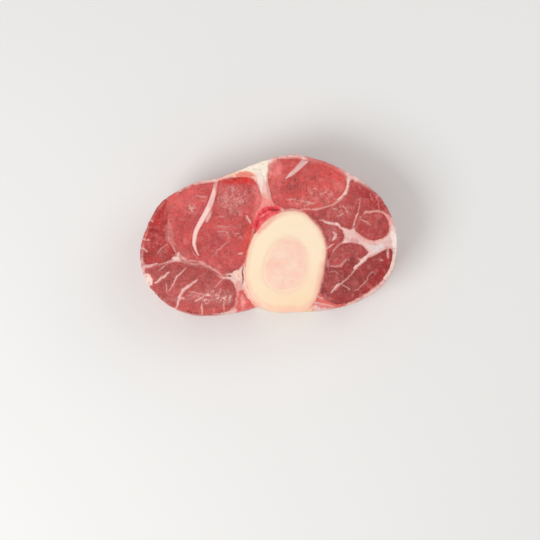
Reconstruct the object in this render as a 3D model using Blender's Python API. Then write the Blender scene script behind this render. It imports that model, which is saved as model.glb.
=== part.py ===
"""A slice of raw beef shank, sawn across the shin bone.

The slice is built as the real cut is: a ring of bone with its marrow, the muscles packed round it,
a tendon inside two of them, the vessels beside the bone, and one web of fascia and fat that wraps
each muscle and closes round them all as the outer skin. Every piece runs through the thickness.
X runs across the slice, Y up its cut face and Z up. It lies on Z = 0.
"""

import math

import bmesh
import bpy
from mathutils import Vector
from mathutils.geometry import interpolate_bezier

MM = 0.001

# Sizes of the slice
SLICE_THICKNESS = 30 * MM
HALF_GAP = 0.15 * MM  # each piece and the pocket it fits into keep this far from their outline
SLUMP = 1.8 * MM
SLUMP_REACH = 70 * MM
BONE_MIDDLE = Vector((9, -14)) * MM

# Muscle: its edges are rounded where the fascia holds them, and its cut face swells in between
EDGE_RADIUS = 1.3 * MM
EDGE_DROP = 0.6 * MM
SWELL_REACH = 4 * MM
FOOT_LIFT = 0.7 * MM
FACE_INSETS = [HALF_GAP, 0.5 * MM, 1.4 * MM, 4 * MM]
FOOT_INSETS = [1.2 * MM, HALF_GAP]

# Bone: it stands a little above the flesh, and its sawn edges are slightly blunt
BONE_PROUD = 0.4 * MM
SAWN_EDGE = 0.3 * MM

# Fascia: its cut edge lies below the muscles, and its outer skin bulges between the two cut faces
FASCIA_SUNK = 0.5 * MM
SKIN_PROFILE = [  # how far in from the widest line, and how high up the slice
    (0.6 * MM, 0.0),
    (0.15 * MM, 0.06),
    (0.0, 0.5),
    (0.1 * MM, 0.92),
    (0.5 * MM, 1.0),
]

# How finely curves are cut into sides
LONGEST_SIDE = 4.5 * MM
SHARPEST_TURN = math.radians(20)
STRAIGHT = 0.001 * MM  # a point this close to the tangent lies along it
NARROW_SHARE = 0.7  # a piece that is narrow is inset by no more than this share of its half-width
SHARP_EDGE = math.radians(40)
CUTTER_OVERRUN = 8 * MM

# Outlines on the cut face, in millimetres
SLICE_EDGE = [
    (64.3, -6), (61.5, 10), (51.5, 23.7), (32.5, 35), (15.3, 40.3), (7, 40.1), (-1, 37.6), (-18, 31.3),
    (-27.5, 28.3), (-37, 26.6), (-52.7, 17.3), (-62, 2), (-64.3, -12), (-59.3, -26.7), (-46, -37.7),
    (-30, -40.6), (-12, -38.2), (-5.8, -36.4), (0, -38.2), (8, -38.9), (28, -37.8), (46, -33), (60, -22),
]
BONE_EDGE = [
    (28.7, -6), (26.3, 2), (21.7, 7.5), (17, 11.3), (11.5, 12.2), (5.5, 11.2), (-1.5, 6.7), (-7, 0.7),
    (-10.2, -8), (-11.8, -18), (-10.4, -26.5), (-6.5, -32.3), (0.5, -36.2), (10, -37.4), (19.5, -36.2),
    (24, -31.8), (26, -24.5), (28, -15),
]
MARROW_EDGE = [
    (19.5, -12.5), (18.2, -6.5), (14, -2.6), (8.2, -1.7), (2.8, -5), (-0.5, -11), (-2.2, -17.5),
    (-1, -23.5), (3.8, -27.2), (10.2, -27.8), (15.8, -24.8), (18.6, -19),
]
VESSELS_EDGE = [
    (5, 12.8), (1.7, 13.3), (-1.5, 12.9), (-4, 10.6), (-5.7, 6.8), (-6.4, 3.7), (-4.8, 6.2), (-2, 8.8),
    (1.6, 11.2),
]

# Each muscle: how far its face swells, and its outline
MUSCLES = {
    "muscle_left": (0.9 * MM, [
        (-3.2, 17.5), (-3.9, 22.5), (-6, 26.5), (-9, 29), (-14, 29.6), (-19.2, 28.9), (-27.5, 26.8),
        (-37.3, 25.1), (-43, 22.4), (-47, 18.7), (-49.2, 13), (-50.2, 5), (-49.7, -0.5), (-48, -5),
        (-45.2, -8.7), (-42, -11.2), (-38, -12.7), (-33.5, -13.4), (-29.5, -14.7), (-26, -17.4),
        (-22.5, -19.2), (-18.7, -18.8), (-15, -17), (-12.9, -14), (-11.7, -9.2), (-8.6, 0.7),
        (-7.4, 6.5), (-5.5, 12),
    ]),
    "muscle_left_rim": (0.5 * MM, [
        (-50, 17.6), (-53.4, 14.4), (-57.7, 8.4), (-60.3, 2.2), (-62, -4), (-62.8, -11), (-61.8, -14.8),
        (-58.5, -14.8), (-54, -13.5), (-49.5, -12.2), (-47, -10.3), (-47.5, -7.8), (-50.1, -4.2),
        (-51.4, 0), (-51.6, 6), (-50.6, 13),
    ]),
    "muscle_lower_left": (0.9 * MM, [
        (-61.8, -17), (-58.2, -16.3), (-54.2, -15.3), (-50, -14.2), (-46.5, -13.3), (-43.2, -13.8),
        (-39.5, -15), (-35.5, -15.9), (-32, -16.3), (-29, -18), (-26, -20.4), (-23.2, -21.8), (-19.7, -22.2),
        (-17.2, -24.7), (-16.2, -28.5), (-16.5, -32.5), (-17.8, -36.2), (-20, -38), (-25, -39.1),
        (-31.7, -39.4), (-38, -38.7), (-44.3, -36.7), (-50.2, -33.6), (-55, -29.7), (-58.4, -25.6),
        (-60.9, -21),
    ]),
    "muscle_lower_tip": (0.3 * MM, [
        (-14.5, -28), (-12.2, -28.3), (-10.3, -31.2), (-8.6, -34.2), (-10, -36), (-13.2, -36.8),
        (-16, -37.1), (-15.4, -34.3), (-14.9, -31.2),
    ]),
    "muscle_top": (0.9 * MM, [
        (0.7, 36.3), (4.3, 38), (9.2, 38.8), (14.7, 38.8), (20, 37.9), (25.7, 36), (31.2, 33.8),
        (35.7, 31.2), (38.7, 29), (39.5, 26), (38.6, 22.5), (36.2, 19), (32.2, 16.2), (27.2, 14.4),
        (21.7, 13.5), (15.7, 13.4), (10.2, 13.5), (5.7, 14), (3, 15.2), (1.4, 18.2), (0.2, 22.5),
        (-0.4, 27.5), (-0.4, 32.5),
    ]),
    "muscle_right_upper": (0.7 * MM, [
        (41.5, 27.5), (40.9, 24.5), (39.8, 21), (36.7, 17.4), (32.7, 14.8), (28.2, 13), (23.2, 12),
        (20.6, 10.8), (24.1, 8.6), (27.5, 8), (30.6, 7.3), (33.3, 6.4), (35.4, 5.4), (37.3, 4.1),
        (39.5, 3), (42, 3.3), (44, 5.5), (45.5, 8.5), (47.2, 11.3), (50.7, 12.8), (54.7, 13.4), (58.5, 13),
        (56.5, 16.3), (53.2, 20), (49.3, 23.3), (45.2, 25.9),
    ]),
    "muscle_right_round": (0.7 * MM, [
        (60.5, 5), (59.6, 8.5), (57.7, 11), (54.7, 11.9), (50.7, 11.2), (47.8, 9.5), (46.4, 7.3),
        (45, 4.6), (43.5, 2.3), (45.7, 0.2), (48.7, -1.7), (52.2, -3), (55.2, -2.5), (58.2, -1),
        (60.1, 1.5),
    ]),
    "muscle_right_inner": (0.5 * MM, [
        (24.4, 6.8), (27.9, 6.4), (31.2, 5.5), (34, 4.3), (36.3, 2.7), (37.7, 0.5), (38, -1.5),
        (36.2, -3.5), (33.6, -5.1), (32, -7.3), (31, -9.7), (29.9, -12), (29.7, -8.5), (29.8, -5),
        (28.9, -1.3), (27.4, 2.2), (25.4, 5.1),
    ]),
    "muscle_right_middle": (0.7 * MM, [
        (50, -9.2), (49.2, -7.4), (46.7, -5.2), (43.7, -4), (40.5, -3.8), (38, -4.5), (35.7, -5.7),
        (34, -7.1), (32.9, -9.1), (31.9, -11.4), (30.4, -13.8), (31.8, -14.7), (34.7, -14.6), (36.7, -13),
        (38.6, -10.9),
        (41, -9.9), (43.7, -10.5), (46.2, -11.8), (48.5, -10.9),
    ]),
    "muscle_right_lower": (0.9 * MM, [
        (62.5, -9), (61.6, -6.9), (59.2, -7.2), (56.7, -8.2), (53.7, -9.9), (50.4, -11.7), (47, -14.4),
        (44.3, -17), (42.3, -19.9), (40, -22.5), (37.3, -24.5), (34.5, -26.5), (32.8, -27.8), (34, -25.2),
        (36.4, -23.1), (39.3, -21), (41.5, -18.4), (43, -16), (44.4, -13.9), (42.8, -12), (40.6, -11.9),
        (38.7, -13.8), (36.6, -15.9), (34, -16.7), (31, -16.4), (29.3, -16.4), (28.2, -20), (27.3, -24),
        (26.6, -28), (26.9, -31), (29.6, -33.3), (34, -34.9), (38.5, -34.3), (42.5, -32.7), (46.7, -30.4),
        (51, -27.6), (55.2, -24.3), (58.5, -20.5), (60.9, -16.5), (62.2, -12.7),
    ]),
}

# Each tendon: the muscle that holds it, and stations from the skin inwards as x, y and width
TENDONS = {
    "tendon_left": ("muscle_left", [
        (-25.3, 30.5, 2.2), (-26.4, 26, 2.2), (-27.3, 22, 2.6), (-28.4, 18, 3), (-30.2, 13.5, 3.2),
        (-32.6, 9, 3.1), (-35.2, 4.5, 2.8), (-36.9, 0, 2.5), (-37.4, -4, 2.1), (-36.5, -7.6, 1.5),
        (-35, -10.2, 0.8),
    ]),
    "tendon_top": ("muscle_top", [
        (21.5, 42, 4), (18.8, 38, 3.8), (16.2, 35.2, 3.3), (13.6, 32.6, 2.9), (11.2, 30.4, 2.2),
        (8.6, 28.4, 1.2),
    ]),
}


class Outline:
    """A smooth closed curve through points on the cut face, cut into short sides."""

    def __init__(self, knots):
        knots = [Vector(knot) * MM for knot in knots]
        if sum(knots[i - 1].cross(knots[i]) for i in range(len(knots))) < 0:
            knots.reverse()
        headings = [
            (knots[(i + 1) % len(knots)] - knots[i - 1]).normalized() for i in range(len(knots))
        ]
        self.points = []
        for i, start in enumerate(knots):
            j = (i + 1) % len(knots)
            handle = (knots[j] - start).length / 3
            turn = headings[i].angle(headings[j])
            sides = math.ceil(max(3 * handle / LONGEST_SIDE, turn / SHARPEST_TURN, 1))
            self.points += interpolate_bezier(
                start, start + headings[i] * handle, knots[j] - headings[j] * handle, knots[j], sides + 1
            )[:-1]
        self.inward = []
        for i in range(len(self.points)):
            along = (self.points[(i + 1) % len(self.points)] - self.points[i - 1]).normalized()
            self.inward.append(Vector((-along.y, along.x)))
        self.rooms = [self.room(i) for i in range(len(self.points))]

    def room(self, i):
        """Radius of the largest circle that touches the curve at point i and stays inside it."""
        offsets = [point - self.points[i] for point in self.points]
        return min(
            offset.length_squared / (2 * offset.dot(self.inward[i]))
            for offset in offsets
            if offset.dot(self.inward[i]) > STRAIGHT
        )

    def inset(self, depth):
        """The curve moved inwards, less where it is narrow: each point with the depth it reaches."""
        for point, inward, room in zip(self.points, self.inward, self.rooms):
            reached = min(depth, NARROW_SHARE * room)
            yield point + inward * reached, reached


def cut_face(spot):
    """Height of the upper cut face: the flesh slumps a little away from the bone."""
    return SLICE_THICKNESS - SLUMP * (spot - BONE_MIDDLE).length_squared / SLUMP_REACH**2


def bundle_top(spot, depth, swell):
    """Height of a bundle's face: rounded at its edge, and swollen inside it."""
    edge = max(0, 1 - depth / EDGE_RADIUS)
    return cut_face(spot) - EDGE_DROP * edge**2 + swell * (1 - math.exp(-depth / SWELL_REACH))


def bundle_foot(depth):
    """Height of a bundle's underside, which lies flat but for its rounded edge."""
    return FOOT_LIFT * max(0, 1 - depth / EDGE_RADIUS) ** 2


def ring(bm, outline, depth, height):
    """A closed ring of edges on the outline, at the height that each spot and depth gives."""
    verts = []
    for spot, reached in outline.inset(depth):
        verts.append(bm.verts.new((spot.x, spot.y, height(spot, reached))))
    return [bm.edges.new((verts[i - 1], verts[i])) for i in range(len(verts))]


def skin(bm, rings):
    """Walls through a stack of rings, from the lowest up."""
    for lower, upper in zip(rings, rings[1:]):
        bmesh.ops.bridge_loops(bm, edges=lower + upper)


def solid(bm, name, material):
    """Turns closed faces into a smooth-shaded object."""
    bmesh.ops.triangulate(bm, faces=bm.faces[:])
    bmesh.ops.recalc_face_normals(bm, faces=bm.faces[:])
    mesh = bpy.data.meshes.new(name)
    bm.to_mesh(mesh)
    bm.free()
    mesh.materials.append(material)
    mesh.shade_smooth()
    mesh.set_sharp_from_angle(angle=SHARP_EDGE)
    made = bpy.data.objects.new(name, mesh)
    bpy.context.scene.collection.objects.link(made)
    return made


def cap(bm, edges, facing):
    """Flat faces inside the outermost ring, round any rings within it."""
    bmesh.ops.triangle_fill(bm, edges=edges, use_beauty=True, normal=(0, 0, facing))


def raw_material(name, colour, roughness, shine=0.0):
    """A matt or wet surface of one colour."""
    material = bpy.data.materials.new(name)
    material.use_nodes = True
    shader = material.node_tree.nodes["Principled BSDF"]
    shader.inputs["Base Color"].default_value = (*colour, 1)
    shader.inputs["Roughness"].default_value = roughness
    shader.inputs["Metallic"].default_value = 0
    shader.inputs["Coat Weight"].default_value = shine
    return material


def bundle(name, swell, knots, material):
    """A piece that runs through the slice: a flat foot, upright sides and a swollen cut face."""
    outline = Outline(knots)
    bm = bmesh.new()
    feet = [ring(bm, outline, depth, lambda spot, reached: bundle_foot(reached)) for depth in FOOT_INSETS]
    faces = [
        ring(bm, outline, depth, lambda spot, reached: bundle_top(spot, reached, swell))
        for depth in FACE_INSETS
    ]
    skin(bm, feet + faces)
    cap(bm, feet[0], -1)
    cap(bm, faces[-1], 1)
    solid(bm, name, material)


def ribbon(name, stations, grown):
    """A hidden upright strip that follows the stations, used to cut: grown widens it all round."""
    spots = [Vector(station[:2]) for station in stations]
    left, right = [], []
    for i, (x, y, width) in enumerate(stations):
        along = (spots[min(i + 1, len(spots) - 1)] - spots[max(i - 1, 0)]).normalized()
        side = Vector((-along.y, along.x)) * (width / 2 + grown / MM)
        left.append(spots[i] + side)
        right.append(spots[i] - side)
    ending = (spots[-1] - spots[-2]).normalized() * (stations[-1][2] / 2 + grown / MM)
    outline = Outline([*right, spots[-1] + ending, *reversed(left)])
    bm = bmesh.new()
    rings = [
        ring(bm, outline, 0, lambda spot, reached: -CUTTER_OVERRUN),
        ring(bm, outline, 0, lambda spot, reached: SLICE_THICKNESS + CUTTER_OVERRUN),
    ]
    skin(bm, rings)
    cap(bm, rings[0], -1)
    cap(bm, rings[1], 1)
    cutter = solid(bm, name, TENDON)
    cutter.hide_render = True
    cutter.display_type = "WIRE"
    return cutter


def cut(piece, operation, cutter):
    """A Boolean that keeps or removes what lies in the cutter."""
    modifier = piece.modifiers.new(operation.lower(), "BOOLEAN")
    modifier.operation = operation
    modifier.object = cutter


def tendon(name, holder, stations):
    """A sheet of tendon as high as the muscle that holds it, in a slot cut to fit."""
    sheet = bpy.data.objects.new(name, holder.data.copy())
    sheet.data.materials[0] = TENDON
    bpy.context.scene.collection.objects.link(sheet)
    cut(sheet, "INTERSECT", ribbon(name + "_shape", stations, -HALF_GAP))
    cut(holder, "DIFFERENCE", ribbon(name + "_slot", stations, HALF_GAP))


def bone():
    """A sawn ring of shin bone that stands a little proud of the flesh."""
    bm = bmesh.new()
    top = SLICE_THICKNESS + BONE_PROUD
    walls = []
    for knots, inwards in ((BONE_EDGE, 1), (MARROW_EDGE, -1)):
        outline = Outline(knots)
        wall = inwards * HALF_GAP
        edge = wall + inwards * SAWN_EDGE
        walls.append([
            ring(bm, outline, edge, lambda spot, reached: 0),
            ring(bm, outline, wall, lambda spot, reached: SAWN_EDGE),
            ring(bm, outline, wall, lambda spot, reached: top - SAWN_EDGE),
            ring(bm, outline, edge, lambda spot, reached: top),
        ])
        skin(bm, walls[-1])
    cap(bm, walls[0][0] + walls[1][0], -1)
    cap(bm, walls[0][-1] + walls[1][-1], 1)
    solid(bm, "bone", BONE)


def fascia(pockets):
    """One web of fascia and fat, with a pocket for each set of knots, and its outer skin."""
    bm = bmesh.new()
    outer = Outline(SLICE_EDGE)

    def level(share):
        return lambda spot, reached: share * (cut_face(spot) - FASCIA_SUNK)

    walls = [[ring(bm, outer, inset, level(share)) for inset, share in SKIN_PROFILE]]
    for knots in pockets:
        outline = Outline(knots)
        walls.append([ring(bm, outline, -HALF_GAP, level(share)) for share in (0, 1)])
    for wall in walls:
        skin(bm, wall)
    cap(bm, [edge for wall in walls for edge in wall[0]], -1)
    cap(bm, [edge for wall in walls for edge in wall[-1]], 1)
    solid(bm, "fascia", FASCIA)


for old in list(bpy.data.objects):
    bpy.data.objects.remove(old)

MUSCLE = raw_material("raw_muscle", (0.42, 0.06, 0.06), 0.4, shine=0.4)
TENDON = raw_material("tendon", (0.82, 0.58, 0.53), 0.35, shine=0.3)
FASCIA = raw_material("fascia_and_fat", (0.85, 0.65, 0.56), 0.4, shine=0.3)
BONE = raw_material("sawn_bone", (0.93, 0.81, 0.6), 0.55)
MARROW = raw_material("marrow", (0.9, 0.6, 0.47), 0.45, shine=0.1)
VESSELS = raw_material("vessels", (0.6, 0.03, 0.05), 0.3, shine=0.5)

bone()
bundle("marrow", 0, MARROW_EDGE, MARROW)
bundle("vessels", 0, VESSELS_EDGE, VESSELS)
for name, (swell, knots) in MUSCLES.items():
    bundle(name, swell, knots, MUSCLE)
for name, (holder, stations) in TENDONS.items():
    tendon(name, bpy.data.objects[holder], stations)
fascia([BONE_EDGE, VESSELS_EDGE] + [knots for swell, knots in MUSCLES.values()])
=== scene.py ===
import itertools
import math

import bmesh
import bpy
import numpy as np
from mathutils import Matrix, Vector
from mathutils.kdtree import KDTree


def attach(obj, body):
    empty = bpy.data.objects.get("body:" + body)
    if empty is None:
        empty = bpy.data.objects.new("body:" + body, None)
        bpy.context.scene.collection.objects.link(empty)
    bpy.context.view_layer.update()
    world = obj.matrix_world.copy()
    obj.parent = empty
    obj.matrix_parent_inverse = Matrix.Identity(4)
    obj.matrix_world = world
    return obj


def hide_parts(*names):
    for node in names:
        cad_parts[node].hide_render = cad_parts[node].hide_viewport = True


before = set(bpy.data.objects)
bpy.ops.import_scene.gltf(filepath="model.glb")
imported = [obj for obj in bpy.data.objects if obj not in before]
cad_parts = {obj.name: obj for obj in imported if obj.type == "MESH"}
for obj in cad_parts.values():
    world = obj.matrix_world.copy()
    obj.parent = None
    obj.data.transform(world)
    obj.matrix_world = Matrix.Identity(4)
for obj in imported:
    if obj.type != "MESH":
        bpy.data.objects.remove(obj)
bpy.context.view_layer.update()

# Shin bone: the thick wall of a beef shin bone, sawn straight across, round the hole for the marrow.
# Compact bone is dense, cream and almost smooth; the band saw leaves faint scratches and a worn edge.
# It is a fine copy of its solid, pink at its old skin. At the front its upper edge covers the film there.
MM = 0.001
BONE_VOXEL = 0.42 * MM
WANDER = 0.14 * MM  # no line in meat is ruled: every piece's walls wander together by up to this much
WANDER_SIZES = (2.6, 2.6, 9)
HALF_THICKNESS = 15 * MM
JOIN_GAP = 0.005 * MM
OUTLINE_STEP = 0.35 * MM
BONE_GROWTH = 0.4 * MM  # over the edges of the flesh and the marrow, past the gap between the solids
BONE_CREAM = "#fce5c6"
BONE_WARM = "#f8cfa4"
BONE_SKIN_PINK = "#f4ab98"
BONE_DAMP = "#f8d0b6"
FILM_FRONT = (-30 * MM, -34 * MM)  # the film in front of the bone begins between these
FILM_HEIGHT = (28 * MM, 29.6 * MM)  # the bone's edge moves out over the film between these
FILM_REACH = 1.1 * MM  # how far it moves out


def merged_solid(node):
    """A node's solid as a bmesh, with its loose triangles joined."""
    solid = bmesh.new()
    solid.from_mesh(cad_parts[node].data)
    bmesh.ops.remove_doubles(solid, verts=solid.verts, dist=JOIN_GAP)
    return solid


def new_piece(name, solid):
    """A new object in the scene, with this bmesh as its mesh."""
    piece = bpy.data.objects.new(name, bpy.data.meshes.new(name))
    solid.to_mesh(piece.data)
    solid.free()
    bpy.context.scene.collection.objects.link(piece)
    return piece


def outline(node):
    """Points along the outline of a node's solid, halfway up the slice: rows of x and y."""
    solid = merged_solid(node)
    everything = solid.verts[:] + solid.edges[:] + solid.faces[:]
    halfway = (0, 0, HALF_THICKNESS)
    cut = bmesh.ops.bisect_plane(solid, geom=everything, plane_co=halfway, plane_no=(0, 0, 1))
    spots = []
    for side in cut["geom_cut"]:
        if isinstance(side, bmesh.types.BMEdge):
            start, end = (np.array(corner.co.xy) for corner in side.verts)
            steps = math.ceil(side.calc_length() / OUTLINE_STEP)
            spots += [start + (end - start) * step / steps for step in range(steps)]
    solid.free()
    return np.array(spots)


def seen_from_above(spots):
    """A search tree of these spots' x and y."""
    tree = KDTree(len(spots))
    for number, (x, y) in enumerate(spots[:, :2]):
        tree.insert((x, y, 0), number)
    tree.balance()
    return tree


def nearest(spots, line):
    """How far each spot is from a line, seen from above, and which point of the line is nearest to it."""
    tree = seen_from_above(line)
    found = [tree.find((x, y, 0))[1:] for x, y in spots[:, :2]]
    numbers, gaps = zip(*found)
    return np.array(gaps), np.array(numbers)


def noise(spots, size, seed):
    """Smooth random values from -1 to 1, which change over this size in mm, or over a size each way."""
    period = 48
    lattice = np.random.default_rng(seed).uniform(-1, 1, (period, period, period))
    places = spots / (np.array(size) * MM)
    corner = np.floor(places).astype(int)
    share = places - corner
    share = share * share * (3 - 2 * share)
    total = np.zeros(len(spots))
    for step in itertools.product((0, 1), repeat=3):
        weight = np.prod(np.where(step, share, 1 - share), axis=1)
        total += weight * lattice[tuple(((corner + step) % period).T)]
    return total


def ramp(values, low, high):
    """0 where a value is at low or beyond it, 1 at high, and smooth in between."""
    share = np.clip((values - low) / (high - low), 0, 1)
    return share * share * (3 - 2 * share)


def skin_of(piece):
    """Where a piece's vertices are and which way they face: two arrays with rows of x, y and z."""
    spots = np.empty(len(piece.data.vertices) * 3)
    facing = np.empty(len(piece.data.vertices) * 3)
    piece.data.vertices.foreach_get("co", spots)
    piece.data.vertex_normals.foreach_get("vector", facing)
    return spots.reshape(-1, 3), facing.reshape(-1, 3)


def reshape(piece, spots):
    """Puts a piece's vertices at these spots, and none of them below the board that it lies on."""
    spots[:, 2] = np.maximum(spots[:, 2], 0)
    piece.data.vertices.foreach_set("co", spots.ravel())
    piece.data.update()


def wandered(spots):
    """The spots, each moved sideways a little, the same for every piece that passes there."""
    moved = spots.copy()
    for axis, seed in ((0, 1), (1, 2)):
        moved[:, axis] += noise(spots, WANDER_SIZES, seed) * WANDER
    return moved


def fine_copy(name, node, voxel, smoothings, grown):
    """A new piece: its node's solid in small squares, with softened corners and its walls moved out."""
    piece = new_piece(name, merged_solid(node))
    remesh = piece.modifiers.new("remesh", "REMESH")
    remesh.mode = "VOXEL"
    remesh.voxel_size = voxel
    squares = bpy.data.meshes.new_from_object(piece.evaluated_get(bpy.context.evaluated_depsgraph_get()))
    piece.modifiers.clear()
    piece.data = squares
    soft = bmesh.new()
    soft.from_mesh(squares)
    for _ in range(smoothings):
        bmesh.ops.smooth_vert(
            soft, verts=soft.verts, factor=0.5, use_axis_x=True, use_axis_y=True, use_axis_z=True
        )
    soft.to_mesh(squares)
    soft.free()
    squares.shade_smooth()
    spots, facing = skin_of(piece)
    sideways = facing * (1, 1, 0)
    reshape(piece, wandered(spots + sideways * grown))
    return piece


def linear(colour):
    """An sRGB hex colour as linear red, green, blue and alpha."""
    channels = [int(colour[i:i + 2], 16) / 255 for i in (1, 3, 5)]
    return (*[c / 12.92 if c <= 0.04045 else ((c + 0.055) / 1.055) ** 2.4 for c in channels], 1)


def paint(piece, name, values):
    """Keeps a value from 0 to 1 for each vertex, which the piece's material reads by its name."""
    piece.data.attributes.new(name, "FLOAT", "POINT").data.foreach_set("value", np.clip(values, 0, 1))


def damp_stuff(name, fixed):
    """A material with these values on its shader's own sockets, and the tree and shader to finish it."""
    stuff = bpy.data.materials.new(name)
    stuff.use_nodes = True
    shader = stuff.node_tree.nodes["Principled BSDF"]
    for socket, value in fixed.items():
        shader.inputs[socket].default_value = value
    return stuff, stuff.node_tree, shader


def add(tree, kind, inputs, **settings):
    """Adds a node with its settings; each input is a value or another node's output."""
    node = tree.nodes.new("ShaderNode" + kind)
    for name, value in settings.items():
        setattr(node, name, value)
    for socket, value in inputs.items():
        if isinstance(value, bpy.types.NodeSocket):
            tree.links.new(value, node.inputs[socket])
        else:
            node.inputs[socket].default_value = value
    return node


def summed(tree, start, *parts):
    """A start value plus each part times its weight."""
    for part, weight in parts:
        start = add(tree, "Math", {0: part, 1: weight, 2: start}, operation="MULTIPLY_ADD").outputs[0]
    return start


def surface(tree, shader, colour, relief, strength, depth):
    """Gives a shader its colour, and a relief of this strength and depth."""
    tree.links.new(colour, shader.inputs["Base Color"])
    bump = add(tree, "Bump", {"Height": relief, "Strength": strength, "Distance": depth})
    tree.links.new(bump.outputs["Normal"], shader.inputs["Normal"])


def lay(piece, node, stuff):
    """Puts a finished piece in the place of its solid."""
    piece.data.materials.clear()
    piece.data.materials.append(stuff)
    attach(piece, "root")
    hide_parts(node)


# Sawn compact bone: cream, a little warmer towards its lower side, matt, with faint scratches.
CREAM_CLOUD = 14 * MM
SAW_ANGLE = math.radians(24)
SAW_SCRATCH = 0.9 * MM
BONE_PORE = 0.8 * MM  # coarser than the real pores, which wouldn't show
bone_stuff, tree, shader = damp_stuff("sawn_compact_bone", {
    "Roughness": 0.45, "IOR": 1.55, "Subsurface Weight": 0.08, "Subsurface Radius": (1, 0.6, 0.35),
    "Subsurface Scale": 1 * MM,
})
place = add(tree, "TexCoord", {}).outputs["Object"]
clouds = add(tree, "TexNoise", {"Vector": place, "Scale": 1 / CREAM_CLOUD, "Detail": 3})
across_slice = add(tree, "SeparateXYZ", {"Vector": place}).outputs["Y"]
low = add(tree, "MapRange", {"Value": across_slice, "From Min": -8 * MM, "From Max": -40 * MM})
warmth = add(tree, "Math", {0: low.outputs[0], 1: clouds.outputs["Fac"]}, operation="MULTIPLY").outputs[0]
cream = add(tree, "Mix", {0: warmth, 6: linear(BONE_CREAM), 7: linear(BONE_WARM)}, data_type="RGBA")
for mark, colour in (("damp", BONE_DAMP), ("old_skin", BONE_SKIN_PINK)):
    share = add(tree, "Attribute", {}, attribute_name=mark).outputs["Fac"]
    cream = add(tree, "Mix", {0: share, 6: cream.outputs[2], 7: linear(colour)}, data_type="RGBA")
saw_way = add(tree, "Mapping", {"Vector": place, "Rotation": (0, 0, SAW_ANGLE), "Scale": (0.05, 1, 0.05)})
scratches = add(tree, "TexNoise", {"Vector": saw_way.outputs[0], "Scale": 1 / SAW_SCRATCH, "Detail": 4})
pores = add(tree, "TexNoise", {"Vector": place, "Scale": 1 / BONE_PORE, "Detail": 3})
rough = summed(tree, pores.outputs[0], (scratches.outputs[0], 0.6))
surface(tree, shader, cream.outputs[2], rough, 0.5, 0.1 * MM)

bone = fine_copy("sawn_bone", "bone", BONE_VOXEL, 3, BONE_GROWTH)
marrow_line = outline("marrow")
bone_line = outline("bone")
bone_line = bone_line[nearest(bone_line, marrow_line)[0] > 1 * MM]
spots, facing = skin_of(bone)
ragged = noise(spots, 3, 11) * 0.5 * MM
from_skin = nearest(spots, bone_line)[0] + ragged
low_right = ramp(spots[:, 0], 16 * MM, 22 * MM) * ramp(spots[:, 1], -6 * MM, -16 * MM)
by_vessels = ramp(spots[:, 0], 13 * MM, 6 * MM) * ramp(spots[:, 1], -3 * MM, 2 * MM)
pinkness = 0.45 * ramp(from_skin, 2.6 * MM, 0)
pinkness = np.maximum(pinkness, low_right * 0.75 * ramp(from_skin, 3.4 * MM, 0))
mottled = ramp(noise(spots, 1.6, 14), -0.2, 0.6)
pinkness = np.maximum(pinkness, by_vessels * (0.55 + 0.45 * mottled) * ramp(from_skin, 3.4 * MM, 0.8 * MM))
paint(bone, "old_skin", pinkness)
from_marrow = nearest(spots, marrow_line)[0] + ragged
paint(bone, "damp", 0.5 * ramp(from_marrow, 3 * MM, 0.8 * MM))
spots += facing * noise(spots, 5, 13)[:, None] * 0.06 * MM
over_film = ramp(spots[:, 1], *FILM_FRONT) * ramp(spots[:, 2], *FILM_HEIGHT)
over_film *= ramp(spots[:, 0], -5 * MM, -1 * MM) * ramp(spots[:, 0], 23 * MM, 19 * MM)
spots[:, :2] += facing[:, :2] * (FILM_REACH * over_film)[:, None]
reshape(bone, spots)
lay(bone, "bone", bone_stuff)

# Marrow: the soft fat that fills the shin bone, cut flush with it.
# It is mostly fat with some blood, so it is pinkish cream, a little translucent and slightly greasy.
# It is a fine copy of its solid, raised flush with the bone's face, over whose edge it smears a little.
MARROW_PINK = "#fbcbb5"
MARROW_PALE = "#fbdac4"
MARROW_BLOOD = "#e5a391"
MARROW_EDGE = "#fbdbbe"
MARROW_LUMP = 6 * MM
MARROW_SPECK = 2.2 * MM
MARROW_SMEAR = 0.16  # how far its face reaches over the bone, as a share of its half width
MARROW_RISE = 0.46  # in mm, from the face of its solid to the bone's


def within(spots, ring):
    """Which spots lie inside a closed outline, seen from above, where its middle is inside it too."""
    middle = ring.mean(axis=0)
    beside = ring[nearest(spots, ring)[1]]
    return np.linalg.norm(spots[:, :2] - middle, axis=1) < np.linalg.norm(beside - middle, axis=1)


marrow_stuff, tree, shader = damp_stuff("raw_bone_marrow", {
    "Roughness": 0.4, "IOR": 1.5, "Subsurface Weight": 0.08, "Subsurface Radius": (1, 0.6, 0.35),
    "Subsurface Scale": 1 * MM,
})
place = add(tree, "TexCoord", {}).outputs["Object"]
lumps = add(tree, "TexNoise", {"Vector": place, "Scale": 1 / MARROW_LUMP, "Detail": 3})
pale = add(tree, "MapRange", {"Value": lumps.outputs[0], "From Min": 0.35, "From Max": 0.7}).outputs[0]
soft = add(tree, "Mix", {0: pale, 6: linear(MARROW_PINK), 7: linear(MARROW_PALE)}, data_type="RGBA")
specks = add(tree, "TexNoise", {"Vector": place, "Scale": 1 / MARROW_SPECK, "Detail": 4, "Roughness": 0.65})
blood = add(tree, "MapRange", {"Value": specks.outputs[0], "From Min": 0.54, "From Max": 0.8, "To Max": 0.4})
soft = add(tree, "Mix", {0: blood.outputs[0], 6: soft.outputs[2], 7: linear(MARROW_BLOOD)}, data_type="RGBA")
edge = add(tree, "Attribute", {}, attribute_name="edge").outputs["Fac"]
soft = add(tree, "Mix", {0: edge, 6: soft.outputs[2], 7: linear(MARROW_EDGE)}, data_type="RGBA")
surface(tree, shader, soft.outputs[2], specks.outputs[0], 0.5, 0.25 * MM)

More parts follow.
